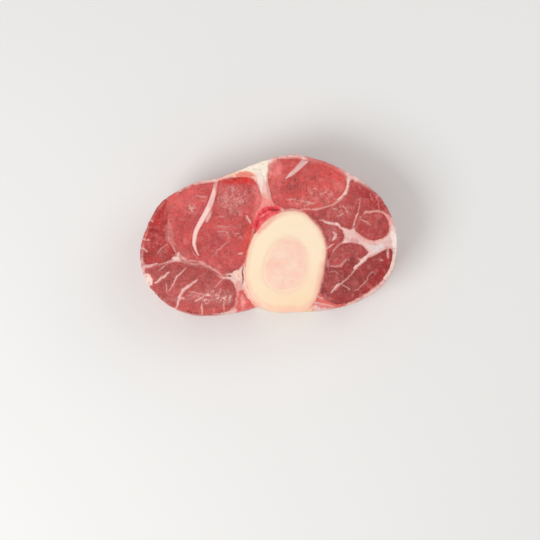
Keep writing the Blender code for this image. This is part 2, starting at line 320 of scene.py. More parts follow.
marrow = fine_copy("marrow_core", "marrow", BONE_VOXEL, 3, 0)
spots = skin_of(marrow)[0]
smeared = MARROW_SMEAR * ramp(spots[:, 2], HALF_THICKNESS, 1.5 * HALF_THICKNESS)
spots[:, :2] += (spots[:, :2] - marrow_line.mean(axis=0)) * smeared[:, None]
outside = nearest(spots, marrow_line)[0] * np.where(within(spots, marrow_line), -1, 1)
paint(marrow, "edge", ramp(outside + noise(spots, 3, 20) * 0.6 * MM, -1.4 * MM, 0.6 * MM))
upper = spots[:, 2] > HALF_THICKNESS
lift = MARROW_RISE + 0.03 * noise(spots, 3.5, 21) - 0.12 * ramp(outside, 0.3 * MM, 1.4 * MM)
spots[:, 2] += np.where(upper, lift, 0) * MM
reshape(marrow, spots)
lay(marrow, "marrow", marrow_stuff)

# Muscles: bundles of red fibres that run down the shin, cut straight across and damp.
# Each fibre bundle is a small soft cell of its own tone; fat lies between them as flecks and strokes.
# Each is a fine copy of its solid, with its tones and fat stained in, painted shade in its sunk cracks, and
# its face a little uneven.
MUSCLE_VOXEL = 0.35 * MM
WALL_GROWTH = 0.25 * MM  # with the closing of the fascia's pockets this takes up the gap between them
FOOT_DRAWN_IN = 0.6 * MM  # at the board the meat stays inside the skin, which is thin there
BONE_MIDDLE = np.array((9, -14)) * MM
FACE_SLUMP = 1.8 * MM  # how far the cut face sinks
FACE_REACH = 70 * MM
FIBRE_BUNDLE = 2.6 * MM
BUNDLE_BEND = 2.4 * MM
BEND_DEPTH = 2.6 * MM
FIBRE_GRAIN = 1.1 * MM
MEAT_PATCH = 7 * MM
MEAT_SPOT = 2.4 * MM
FAT_SPECK = 0.8 * MM
FAT_STREAK = 1.5 * MM
FLECKS_ELSEWHERE = 0.04
FAT_WHITE = "#f3c6be"
PALE_FLESH = "#dd857f"
# painted shade: the dark red laid into the sunk cracks between fibre bundles
CRACK_SHADE = "#8c2c2c"
ALONG_FIBRE = np.array((1, 1, 0.1))  # what runs down the shin changes ten times slower that way
# Tones are touches with a colour, width, strength and points in mm; fat and cracks have no colour of their
# own, the cracks get painted shade. Flecks are ovals of fine marbling, with a middle, half width and half
# height in mm, and strength.
MUSCLES = {
    "muscle_left": {
        "flesh": "#c54a48",
        "tones": [
            ("#ec7b77", 4, 0.8, (-7.5, 26), (-5.6, 21), (-4.6, 15)),
            ("#c8615f", 15, 0.75, (-19.5, 21), (-18, 14)),
            ("#e26b6a", 5, 0.4, (-44, 14), (-40, 20), (-34, 23.5), (-29, 25)),
            ("#dc5a57", 7, 0.75, (-50, 8), (-47, 16), (-42, 23), (-37, 27)),
            ("#d62a22", 5.4, 0.95, (-24, 28), (-12, 28.6), (-6.8, 26.6)),
            ("#bb4a55", 6, 0.45, (-36, 2), (-33, 12), (-28, 18)), ("#b8434a", 7, 0.4, (-29, -6), (-22, 2)),
            ("#e04a40", 5, 0.9, (-5.5, 9), (-9, 0), (-12.3, -12)),
            ("#e6706a", 6, 0.85, (-3, 19.5), (-4.4, 13), (-6.2, 8)),
            (PALE_FLESH, 4, 0.6, (-50.5, 7), (-49.8, -2), (-48, -7)),
            (PALE_FLESH, 1.2, 0.3, (-26, 3.5), (-19, 3)),
        ],
        "fat": [
            (1, 0.9, (-11.2, 10), (-8.8, 6)), (1.8, 0.8, (-28.8, 12), (-31.2, 6.6)),
            (0.6, 0.5, (-26.5, 4.6), (-19.6, 4.2)), (0.6, 0.45, (-25.6, 2), (-19.6, 1.6)),
            (0.5, 0.4, (-25.6, 9.6), (-21.4, 9)), (0.5, 0.45, (-17, -0.6), (-16, 0.8), (-14.4, 0.6)),
            (0.7, 0.7, (-39.5, 15.5), (-38, 11.5)), (0.7, 0.7, (-40, 13), (-36.5, 13.6)),
            (0.6, 0.6, (-37.2, 15.2), (-38.6, 13.2)), (0.9, 0.85, (-15.2, -9.5), (-12.8, -9.2)),
            (0.6, 0.45, (-27.7, -10.5), (-23.2, -5.5), (-19.7, -3)),
            (0.6, 0.4, (-20.5, -2), (-19.7, -0.9), (-18.8, -1.6)),
            (0.6, 0.5, (-15.5, -2), (-14.2, -0.8), (-13, -2)), (0.6, 0.4, (-16.5, 13), (-13.8, 9.5)),
            # the two strokes on the next line are pale pink streaks of sheen beside the tendon, laid in as
            # fat: painted highlight
            (0.9, 0.4, (-36.8, 19.6), (-31, 19.2)), (0.6, 0.35, (-34.4, 17.2), (-31.4, 17)),
        ],
        "flecks": [(-17.5, 18, 9, 8, 0.68), (-38.2, 13.7, 3.6, 3.6, 0.6), (-20, 2, 6, 3, 0.3)],
        "cracks": [
            (0.4, 0.6, (-12.5, 11.5), (-10.8, 9.8)), (0.4, 0.5, (-21, 14), (-19, 10)),
            (0.4, 0.6, (-16.6, 13.4), (-15.2, 10.6)), (0.4, 0.5, (-13.6, 17.6), (-13, 14.6)),
            (0.4, 0.5, (-24.6, 17.4), (-22.6, 15)),
        ],
    },
    "muscle_left_rim": {
        "flesh": "#ab2d2b",
        "tones": [
            ("#b8201c", 7, 0.95, (-51, 17), (-58.5, 6), (-61, -3)),
            ("#a11c1a", 4.5, 0.7, (-57, 6), (-58.6, 0), (-59, -5)),
            ("#cf5450", 3, 0.8, (-47.5, 21), (-50.5, 14), (-51.6, 8)),
            (PALE_FLESH, 2.6, 0.4, (-51.5, 5), (-50.5, -3)), ("#a8403e", 5, 0.7, (-51, -8), (-56, -10)),
        ],
        "fat": [
            (0.9, 0.65, (-62.7, -2), (-59.7, -2.5)), (0.9, 0.8, (-62.7, -6.4), (-60.5, -8.5)),
            (1.1, 0.65, (-59.9, 8.6), (-57.9, 6.7)), (0.6, 0.5, (-50.2, -4), (-54.2, -7), (-55.7, -9.5)),
        ],
        "flecks": [(-55, -10, 4, 3, 0.15)],
    },
    "muscle_lower_left": {
        "flesh": "#b54946",
        "tones": [
            ("#bd433d", 4, 0.7, (-60, -20), (-50, -34), (-30, -38.5), (-19, -37)),
            ("#a5322e", 5, 0.75, (-58, -23.5), (-54, -28.5), (-49, -33)),
            ("#fcdcd0", 2.6, 1, (-60.8, -19.6), (-58.8, -24.4)),
            ("#ab4945", 8, 0.5, (-52, -21), (-40, -20)), ("#ae3c39", 7, 0.5, (-46, -29), (-38, -33)),
            ("#c7605b", 5, 0.5, (-38, -31), (-20, -31)),
        ],
        "fat": [
            (2.6, 0.4, (-60.8, -19.8), (-58.6, -24.6)), (1.3, 0.95, (-49.7, -18.5), (-56.7, -24)),
            (0.6, 0.6, (-51.2, -24), (-50.7, -29)),
            (0.7, 0.8, (-41.2, -16.5), (-46.2, -21.5), (-49.7, -27.5)),
            (1.2, 0.95, (-35.7, -22.5), (-42.7, -27.5), (-44.7, -31.5), (-45.7, -36)),
            (0.9, 0.8, (-44.7, -31.5), (-41.7, -31.5)), (0.5, 0.6, (-50.2, -14), (-55.2, -18)),
            (0.5, 0.6, (-22.2, -21.5), (-24.7, -24), (-27.2, -26.5)),
            (0.6, 0.8, (-33.2, -34), (-33.2, -40)), (0.5, 0.5, (-27.2, -36.5), (-27.2, -39)),
            (0.5, 0.6, (-22.2, -32.5), (-22.2, -38.5)), (0.5, 0.6, (-40, -28.2), (-31.4, -30)),
            (1.1, 0.95, (-31.4, -30.4), (-29, -29.6)), (0.7, 0.7, (-31.4, -34.2), (-30.8, -34.6)),
            (0.8, 0.8, (-36.6, -33.4), (-33.6, -31.4)), (0.8, 0.85, (-26.2, -32), (-24.4, -31)),
            (1.3, 0.95, (-23.2, -31.8), (-21.2, -31)), (1, 0.95, (-19.6, -32.4), (-18.9, -30.6)),
            (0.6, 0.7, (-24.2, -28.8), (-23.6, -26.6)),
        ],
        "flecks": [(-29.2, -31, 12.5, 4, 0.85), (-22.5, -31, 5.5, 3.6, 1)],
    },
    "muscle_lower_tip": {
        "flesh": "#dd625d",
        "tones": [
            ("#f59288", 2.4, 0.8, (-13.2, -30), (-12.6, -36.6)),
            ("#d65652", 1.6, 0.6, (-9.4, -33.4), (-9, -37)),
        ],
        "flecks": [(-12, -33, 2, 3, 0.4)],
    },
    "muscle_top": {
        "flesh": "#ce4e4a",
        "tones": [
            ("#f08580", 7, 0.7, (4, 37), (3.2, 30)), ("#d2625f", 6, 0.6, (3.4, 28), (3.2, 19)),
            ("#ef9288", 2, 0.75, (1.4, 37.4), (0.7, 33), (0.5, 29)),
            ("#f09a92", 3.4, 0.75, (3.8, 39.4), (1.4, 36.4)),
            ("#e8726e", 3, 0.6, (7, 40), (17, 39.6), (26, 35.6)), ("#e5726e", 5, 0.6, (34, 27), (36, 22)),
            ("#dd4b48", 6, 0.7, (24, 35), (37, 28)), ("#ca5450", 6, 0.6, (14, 17), (33, 19)),
            ("#c04a48", 4, 0.5, (13, 26), (16, 21)),
        ],
        "fat": [
            (0.5, 0.6, (8.7, 18), (14.2, 18)), (0.5, 0.6, (15.7, 17.5), (21.7, 16)),
            (0.7, 0.7, (22.6, 23.2), (24, 23.8)), (0.5, 0.5, (26.5, 20.5), (29, 22)),
            (0.5, 0.5, (19, 15.5), (24, 16.2)), (0.5, 0.4, (29, 18), (32.5, 20.5)),
        ],
        "flecks": [(17, 16.5, 7, 2.5, 0.55), (26, 20, 8, 5, 0.5)],
        "cracks": [
            (0.6, 0.9, (13.2, 29.5), (13.2, 26.5)), (0.6, 0.9, (16.4, 25), (15.7, 21.5)),
            (0.5, 0.8, (18.7, 20), (21.2, 20.5)), (0.5, 0.7, (19.4, 25), (19.2, 21.6)),
            (0.5, 0.6, (11, 23.8), (11.4, 20.6)), (0.5, 0.6, (22.6, 21.4), (23, 18.8)),
            (0.4, 0.6, (6, 24), (7.5, 20)), (0.4, 0.5, (8.6, 26.6), (12, 25.4)),
        ],
    },
    "muscle_right_upper": {
        "flesh": "#b84543",
        "tones": [
            ("#b12426", 5.4, 0.9, (45.5, 23.6), (51, 19.6), (57, 13.6)),
            ("#b24341", 5, 0.5, (24, 10), (34, 9)),
        ],
        "fat": [
            (0.5, 0.6, (46.2, 18.5), (45.7, 15), (44.7, 11)),
            (0.8, 0.8, (45, 12), (43.2, 6.5), (42.2, 3.5)), (0.6, 0.6, (32, 13.3), (35, 12.8)),
            (0.5, 0.4, (53.5, 20.5), (55, 17), (55.5, 13)), (0.5, 0.4, (51, 21), (52.2, 17.5)),
            (0.6, 0.7, (37.4, 15), (38.8, 13.2), (39.9, 11)), (0.6, 0.6, (45.5, 8.8), (48.5, 10.2)),
            (0.6, 0.6, (34.5, 9.5), (38, 11)),
        ],
        "flecks": [(37, 12, 6, 4, 0.45)],
    },
    "muscle_right_round": {
        "flesh": "#b13c3b",
        "fat": [(0.6, 0.6, (45.7, 8), (48, 7), (51.2, 5))],
        "flecks": [(50, 8, 5, 3, 0.3)],
    },
    "muscle_right_inner": {
        "flesh": "#b44240",
        "fat": [
            (1.3, 0.95, (32.2, 1.6), (33.7, 0.3), (33.4, -0.8), (32.2, -2.5)),
            (0.8, 0.9, (29.2, -6.7), (32.7, -4.5)), (0.5, 0.35, (31, 4.2), (34, 2.8)),
        ],
        "flecks": [(32, 0, 4, 4, 0.4)],
    },
    "muscle_right_middle": {
        "flesh": "#b04140",
        "fat": [(0.8, 0.8, (53.4, -7.2), (49.3, -10.4), (44, -15.4))],
        "flecks": [(38, -9, 8, 4, 0.2)],
    },
    "muscle_right_lower": {
        "flesh": "#9c302f",
        "tones": [
            ("#a51d1e", 5, 0.85, (60.4, -8), (59.5, -14), (54.5, -23.5), (41, -33)),
            ("#a94442", 8, 0.6, (31, -19), (32, -28)),
            (PALE_FLESH, 2, 0.6, (28, -13), (26.8, -22), (24.5, -28.5)),
        ],
        "fat": [
            (0.9, 0.9, (35.2, -24.2), (33.2, -26.8), (31.2, -29)),
            (0.5, 0.6, (35.4, -24.4), (38, -25.2), (40.7, -27.5)), (1.3, 0.8, (59.7, -7), (59.7, -11.5)),
            (0.6, 0.6, (56, -12.4), (57.5, -12.6)), (0.9, 0.8, (53.4, -7.4), (49.5, -10.8), (43.6, -16)),
            (
                0.45, 0.65, (53.7, -19.4), (52, -18.1), (50.1, -20), (48.8, -23), (47, -25), (45.1, -26.9),
                (42.6, -28.1),
            ),
            (0.6, 0.5, (39.7, -12.9), (40.6, -12.2)), (0.5, 0.4, (30, -18.5), (33, -18), (35, -19.5)),
        ],
        "flecks": [(42, -28, 8, 4, 0.15), (34, -20, 5, 4, 0.2)],
    },
}


def cut_face(spots):
    """How high the sawn face is at each spot: it sinks a little away from the bone."""
    return 2 * HALF_THICKNESS - FACE_SLUMP * ((spots[:, :2] - BONE_MIDDLE) ** 2).sum(axis=1) / FACE_REACH**2


def stroke(spots, width, points):
    """How much each spot lies under a stroke through these points in mm, which thins at its ends."""
    line = [np.array(point) * MM for point in points]
    lengths = [np.linalg.norm(end - start) for start, end in zip(line, line[1:])]
    cover = np.zeros(len(spots))
    done = 0
    for start, end, length in zip(line, line[1:], lengths):
        away = spots[:, :2] - start
        share = np.clip(away @ (end - start) / length**2, 0, 1)
        gap = np.linalg.norm(away - share[:, None] * (end - start), axis=1)
        along = (done + share * length) / sum(lengths)
        half = width * MM / 2 * (1 - 0.6 * np.abs(2 * along - 1) ** 3)
        soft = (0.2 + 0.1 * width + 0.02 * width**2) * MM
        cover = np.maximum(cover, ramp(gap, half + soft, half - soft))
        done += length
    return cover


def drawn(spots, strokes):
    """How much each spot lies under any of these strokes: rows of width, strength and points in mm."""
    cover = np.zeros(len(spots))
    for width, strength, *points in strokes:
        cover = np.maximum(cover, stroke(spots, width, points) * strength)
    return cover


def blend(colours, share, towards):
    """Moves each row of colours towards one colour by that row's share."""
    colours += np.clip(share, 0, 1)[:, None] * (np.array(linear(towards)) - colours)


def frayed(spots):
    """The spots, each moved sideways a little, so that what is drawn on them gets an uneven edge."""
    moved = spots.copy()
    for axis, seed in ((0, 31), (1, 32)):
        moved[:, axis] += noise(spots * ALONG_FIBRE, 1.4, seed) * 0.3 * MM
        moved[:, axis] += noise(spots * ALONG_FIBRE, 0.7, seed + 2) * 0.12 * MM
    return moved


def touch(colours, spots, touches):
    """Lays touches of colour with uneven edges over the colours of the spots, one after the other."""
    uneven = frayed(spots)
    for colour, width, strength, *points in touches:
        blend(colours, stroke(uneven, width, points) * strength, colour)


def stain(piece, colours):
    """Keeps a colour for each vertex, which the piece's material starts from."""
    piece.data.attributes.new("stain", "FLOAT_COLOR", "POINT").data.foreach_set("color", colours.ravel())


def cut_fibres(tree):
    """Adds fibres cut across, where a piece is lean, with painted shade in the sunk gaps where bundles part:
    its stained colour, and its relief and grain, 0 to 1.
    """
    place = add(tree, "TexCoord", {}).outputs["Object"]
    stained = add(tree, "Attribute", {}, attribute_name="stain").outputs["Color"]
    lean = add(tree, "Attribute", {}, attribute_name="lean").outputs["Fac"]
    along_shin = add(tree, "Mapping", {"Vector": place, "Scale": (1, 1, 0.08)}).outputs[0]
    bends = add(tree, "TexNoise", {"Vector": along_shin, "Scale": 1 / BUNDLE_BEND, "Detail": 2})
    bent = add(tree, "VectorMath", {
        0: bends.outputs["Color"], 1: (BEND_DEPTH,) * 3, 2: along_shin,
    }, operation="MULTIPLY_ADD").outputs[0]
    bundles = add(tree, "TexVoronoi", {"Vector": bent, "Scale": 1 / FIBRE_BUNDLE}, feature="F1")
    bundle_tone = add(tree, "SeparateXYZ", {"Vector": bundles.outputs["Color"]}).outputs["X"]
    gaps = add(tree, "TexVoronoi", {"Vector": bent, "Scale": 1 / FIBRE_BUNDLE}, feature="DISTANCE_TO_EDGE")
    gaps = add(tree, "MapRange", {0: gaps.outputs[0], 1: 0, 2: 0.16, 3: 1, 4: 0}).outputs[0]
    patches = add(tree, "TexNoise", {"Vector": along_shin, "Scale": 1 / MEAT_PATCH, "Detail": 2}).outputs[0]
    spots = add(tree, "TexNoise", {"Vector": along_shin, "Scale": 1 / MEAT_SPOT, "Detail": 2}).outputs[0]
    patches = add(tree, "Math", {0: spots, 1: patches}, operation="ADD").outputs[0]
    # where bundles part, the gaps between them are darkened and sunk: painted shade in the cracks
    torn_gap_shade = add(tree, "MapRange", {0: patches, 1: 1.02, 2: 1.2}).outputs[0]
    torn_gap_shade = add(tree, "Math", {0: torn_gap_shade, 1: gaps}, operation="MULTIPLY").outputs[0]
    filled = add(tree, "MapRange", {0: patches, 1: 0.98, 2: 0.8}).outputs[0]
    filled = add(tree, "Math", {0: filled, 1: gaps}, operation="MULTIPLY").outputs[0]
    grain = add(tree, "TexNoise", {
        "Vector": along_shin, "Scale": 1 / FIBRE_GRAIN, "Detail": 4, "Roughness": 0.6,
    })
    grain = add(tree, "MapRange", {0: grain.outputs[0], 1: 0.28, 2: 0.72}).outputs[0]

    tones = summed(tree, -0.26, (bundle_tone, 0.2), (grain, 0.3), (torn_gap_shade, -0.24))
    shade = summed(tree, 1, (tones, lean))
    toned = add(tree, "HueSaturation", {"Value": shade, "Color": stained}).outputs["Color"]
    specks = add(tree, "TexNoise", {"Vector": along_shin, "Scale": 1 / FAT_SPECK, "Detail": 3}).outputs[0]
    pale = add(tree, "MapRange", {0: specks, 1: 0.54, 2: 0.75, 4: 0.35}).outputs[0]
    pale = summed(tree, pale, (filled, 0.3))
    pale = add(tree, "Math", {0: pale, 1: lean}, operation="MULTIPLY").outputs[0]
    toned = add(tree, "Mix", {0: pale, 6: toned, 7: linear(PALE_FLESH)}, data_type="RGBA").outputs[2]
    marbling = add(tree, "Attribute", {}, attribute_name="marbling").outputs["Fac"]
    streaks = add(tree, "TexNoise", {
        "Vector": along_shin, "Scale": 1 / FAT_STREAK, "Detail": 4, "Roughness": 0.6, "Distortion": 1.6,
    }).outputs[0]
    streaks = add(tree, "MapRange", {0: streaks, 1: 0.48, 2: 0.72}).outputs[0]
    marbled = add(tree, "Math", {0: streaks, 1: marbling}, operation="MULTIPLY").outputs[0]
    toned = add(tree, "Mix", {0: marbled, 6: toned, 7: linear(FAT_WHITE)}, data_type="RGBA").outputs[2]
    relief = summed(tree, grain, (bundles.outputs["Distance"], -0.6), (torn_gap_shade, -0.7))
    return toned, relief, grain


# Damp raw meat, cut across its fibres: soft, red and slightly glossy, with a fine, uneven grain.
meat_stuff, tree, shader = damp_stuff("raw_beef_cut_across", {
    "IOR": 1.4, "Subsurface Weight": 0.25, "Subsurface Radius": (1, 0.25, 0.15), "Subsurface Scale": 1.2 * MM,
    "Coat Weight": 0.1, "Coat Roughness": 0.22,
})
toned, relief, grain = cut_fibres(tree)
gloss = add(tree, "MapRange", {0: grain, 3: 0.32, 4: 0.5})
tree.links.new(gloss.outputs[0], shader.inputs["Roughness"])
surface(tree, shader, toned, relief, 0.5, 0.25 * MM)

beside_web = []  # the places and colours of what the web touches
for seed, (node, look) in enumerate(MUSCLES.items(), 60):
    muscle = fine_copy(node.replace("muscle", "meat"), node, MUSCLE_VOXEL, 2, WALL_GROWTH)
    spots, facing = skin_of(muscle)
    from_edge = nearest(spots, outline(node))[0]
    down_shin = spots * ALONG_FIBRE
    uneven = frayed(spots)
    colours = np.tile(linear(look["flesh"]), (len(spots), 1))
    touch(colours, spots, look.get("tones", ()))
    patchy = noise(down_shin, 6, seed) + 0.8 * noise(down_shin, 2.4, seed + 100)
    colours[:, :3] *= (1 + 0.14 * patchy)[:, None]
    blend(colours, 0.3 * ramp(noise(down_shin, 2, seed + 400), 0.1, 0.8), PALE_FLESH)
    cover = drawn(uneven, look.get("fat", ()))
    speckle = noise(down_shin, 1.2, seed + 200) + 0.7 * noise(down_shin, 0.6, seed + 300)
    flecks = np.full(len(spots), FLECKS_ELSEWHERE)
    for x, y, half_width, half_height, strength in look["flecks"]:
        off_middle = np.hypot((uneven[:, 0] / MM - x) / half_width, (uneven[:, 1] / MM - y) / half_height)
        flecks = np.maximum(flecks, ramp(off_middle, 1.4, 0.4) * strength)
    cover = np.maximum(cover, 0.7 * flecks * ramp(speckle, 0.1, 1))
    cover *= 0.85 + 0.25 * noise(down_shin, 1.3, seed + 800)
    blend(colours, cover, FAT_WHITE)
    # the cracks are painted dark as shade, and further down they are also sunk into the face
    dark = drawn(uneven, look.get("cracks", ()))
    blend(colours, dark, CRACK_SHADE)
    stain(muscle, colours)
    paint(muscle, "lean", 1 - cover)
    paint(muscle, "marbling", 0.7 * flecks)
    near_edge = (from_edge < 0.8 * MM) & (spots[:, 2] > HALF_THICKNESS)
    beside_web.append((spots[near_edge], colours[near_edge]))
    near_face = ramp(cut_face(spots) - spots[:, 2], 2.2 * MM, 0.9 * MM)
    swelling = 0.14 * noise(spots, 4.5, seed + 600) + 0.06 * noise(spots, 1.6, seed + 700)
    swelling *= ramp(from_edge, 0.3 * MM, 1.5 * MM)
    swelling += 0.3 * ramp(from_edge, 1 * MM, 0.3 * MM) + 0.1 * cover - 0.4 * dark
    spots[:, 2] += near_face * swelling * MM
    spots[:, :2] -= facing[:, :2] * (FOOT_DRAWN_IN * ramp(spots[:, 2], 3 * MM, 0))[:, None]
    reshape(muscle, spots)
    lay(muscle, node, meat_stuff)

# Tendons: a flat tendon inside the left muscle and one inside the top muscle, seen on edge.
# Tendon is dense white fibre, tougher and smoother than fat, with a pearly gloss.
# Each is a fine copy of its solid, paler along its middle and stained by the meat at its edges.
TENDON_VOXEL = 0.28 * MM
TENDON_FIBRE = 0.6 * MM  # coarser than the real fibres, which wouldn't show
TENDONS = {
    "tendon_left": {
        "middle": "#ffd4ca",
        "edge": "#f0a097",
        "touches": [
            ("#dd8f89", 5, 0.75, (-24.5, 29), (-26.2, 23)),
            ("#e6b0ae", 1.6, 0.6, (-27.8, 20), (-29.6, 14)),
            ("#d88f8a", 0.6, 0.55, (-28.2, 15), (-30.6, 9.5), (-32.6, 5)),
            ("#ea9f95", 0.5, 0.5, (-34.6, 1), (-35.2, -3)),
        ],
    },
    "tendon_top": {
        "middle": "#e9b6b2",
        "edge": "#da8883",
        "touches": [
            ("#f8d9d4", 1.2, 0.8, (7.5, 29), (11.5, 32)),
            ("#d88d88", 0.6, 0.5, (12, 33.5), (18.5, 38)),
        ],
    },
}


def grained_stuff(name, fixed, grain, tones, strength, depth):
    """A material that takes its piece's stain, with one grain that gives it both its tones and its relief."""
    stuff, tree, shader = damp_stuff(name, fixed)
    place = add(tree, "TexCoord", {}).outputs["Object"]
    stained = add(tree, "Attribute", {}, attribute_name="stain").outputs["Color"]
    fibres = add(tree, "TexNoise", {"Vector": place, **grain}).outputs[0]
    shade = add(tree, "MapRange", {0: fibres, 1: 0.3, 2: 0.7, 3: tones[0], 4: tones[1]})
    toned = add(tree, "HueSaturation", {"Value": shade.outputs[0], "Color": stained})
    surface(tree, shader, toned.outputs["Color"], fibres, strength, depth)
    return stuff


# Cut tendon: pearly and smooth, with faint fine fibres.
tendon_stuff = grained_stuff("cut_tendon", {
    "Roughness": 0.33, "IOR": 1.45, "Subsurface Weight": 0.3, "Subsurface Radius": (1, 0.4, 0.3),
    "Subsurface Scale": 1.5 * MM, "Coat Weight": 0.2, "Coat Roughness": 0.2,
}, {"Scale": 1 / TENDON_FIBRE, "Detail": 4}, (0.93, 1.05), 0.4, 0.15 * MM)
for node, look in TENDONS.items():
    tendon = fine_copy("cut_" + node, node, TENDON_VOXEL, 2, WALL_GROWTH)
    spots = skin_of(tendon)[0]
    colours = np.tile(linear(look["edge"]), (len(spots), 1))
    from_edge = nearest(spots, outline(node))[0] + noise(spots, 1.5, 81) * 0.15 * MM
    blend(colours, ramp(from_edge, 0, 0.7 * MM), look["middle"])
    touch(colours, spots, look["touches"])
    stain(tendon, colours)
    spots[:, 2] += np.where(spots[:, 2] > HALF_THICKNESS, 0.1 * MM, 0) * noise(spots, 2, 82)
    reshape(tendon, spots)
    lay(tendon, node, tendon_stuff)

# Vessels: the artery, veins and torn tissue that run down the shin beside the bone.
# They are soft and full of blood, so they are a brighter and wetter red than the meat.
# They are a fine copy of their solid, with lumps raised on the cut face; the lumps' tops carry painted
# highlights and their hollows partly painted shade.
VESSEL_VOXEL = 0.3 * MM
VESSEL_GROWTH = 0.35 * MM
VESSEL_RISE = 0.4 * MM
VESSEL_RED = "#ee4c55"
# painted highlight: the pink glints on the tops of the wet vessels' lumps
VESSEL_HIGHLIGHT_PINK = "#f4706f"
# the blood's own crimson, laid into the hollows between the lumps, where it is also painted shade
VESSEL_CRIMSON_SHADE = "#cf3442"
# painted shade for the slit beside the vessels
VESSEL_SLIT_SHADE = "#7c1a1c"
VESSEL_LUMP = 1.5
VESSEL_SHRED = 0.9 * MM
VESSEL_TOUCHES = [
    ("#dc2c38", 1.9, 0.85, (-4.4, 7.6), (-5.6, 6), (-6.3, 3.6)),
    ("#cc4452", 1, 0.6, (-2, 9.4), (-1.4, 8)),
    # these two pink touches are painted highlights on the wet vessels
    ("#fb8f8c", 1.6, 0.7, (-4.2, 9.2), (-2.4, 10.4)),
    ("#f4716f", 1.4, 0.7, (-1, 11.4), (1.4, 11)),
    ("#c0262a", 2.2, 0.95, (0, 13.2), (2.6, 13.1), (5.6, 12.4)),
    ("#a32426", 0.8, 0.7, (2.4, 13.1), (5.4, 12.5)),
    # painted shade down the slit at the vessels' lower left
    (VESSEL_SLIT_SHADE, 0.5, 0.75, (-6.5, 3), (-7.1, 0.6)),
    ("#b04440", 0.5, 0.6, (1.5, 15.6), (2.1, 13.6)),
]


def bloody(colours, spots, share):
    """Lays the vessels' colours over those of the spots, with painted highlights on their lumps' tops and
    crimson, partly painted shade, in the hollows, and gives how far their lumps rise from -1 to 1.
    """
    lumps = noise(spots, (VESSEL_LUMP, VESSEL_LUMP, 8), 51)
    blend(colours, share, VESSEL_RED)
    blend(colours, share * ramp(lumps + 0.5 * noise(spots, 0.9, 52), 0, 0.6) * 0.85, VESSEL_HIGHLIGHT_PINK)
    blend(colours, share * ramp(lumps, -0.2, -0.8) * 0.7, VESSEL_CRIMSON_SHADE)
    touch(colours, spots, VESSEL_TOUCHES)
    return lumps


# Blood-soaked vessel walls and torn tissue: bright, wet and uneven.
vessel_stuff = grained_stuff("torn_blood_vessels", {
    "Roughness": 0.28, "IOR": 1.4, "Subsurface Weight": 0.3, "Subsurface Radius": (1, 0.2, 0.15),
    "Subsurface Scale": 1.5 * MM, "Coat Weight": 0.3, "Coat Roughness": 0.12,
}, {"Scale": 1 / VESSEL_SHRED, "Detail": 5, "Roughness": 0.65}, (0.8, 1.15), 0.6, 0.35 * MM)

vessels = fine_copy("torn_vessels", "vessels", VESSEL_VOXEL, 3, VESSEL_GROWTH)
spots = skin_of(vessels)[0]
colours = np.tile(linear(VESSEL_RED), (len(spots), 1))
lumps = bloody(colours, spots, np.ones(len(spots)))
stain(vessels, colours)
beside_web.append((spots, colours))
spots[:, 2] += np.where(spots[:, 2] > HALF_THICKNESS, VESSEL_RISE, 0) * lumps
reshape(vessels, spots)
lay(vessels, "vessels", vessel_stuff)

# Fascia: one web of fibrous sheets and fat that parts the muscles and closes round them as the skin.
# Where it is thin it is pinkish and the red shows through it; where it is thick it is white, greasy fat.
# It is its solid, cut finer on both faces and the skin, its pockets closed on the meat and its rim leant out.
FACE_STEP = 0.38 * MM
SKIN_STEP = 1 * MM
SKIN_CORNERS = (1 * MM, 27.3 * MM)  # between these heights only the outer skin has corners
LINE_HALF = 0.33 * MM
LEVEL_RISE = 3 * MM  # an edge that rises less than this lies in one of the faces
WALL_NEAR = 0.4 * MM  # what lies nearer than this to the pieces in the pockets belongs to a pocket's wall
POCKET_CLOSING = 0.45 * MM  # how far the pockets' walls move in, under what fills the pockets
RIM_SPREAD = 0.75 * MM  # how far the skin's upper rim leans out at the back and the sides
THIN_FASCIA = "#ebb0a5"
WHITE_FASCIA = "#f3cdc6"
VEINED_PINK = "#dc9794"
PINKISH_WHITE = "#f6dad4"
SALMON = "#f4857d"
TIP_FLESH = "#dc5f59"
# painted shade for the slits between the bone, the fat and the meat
CLEFT_SHADE = "#7a3a28"
SILVERSKIN = "#dfa79d"
RED_BELOW_SKIN = "#a93833"
BONE_FILM = "#f6d9bb"
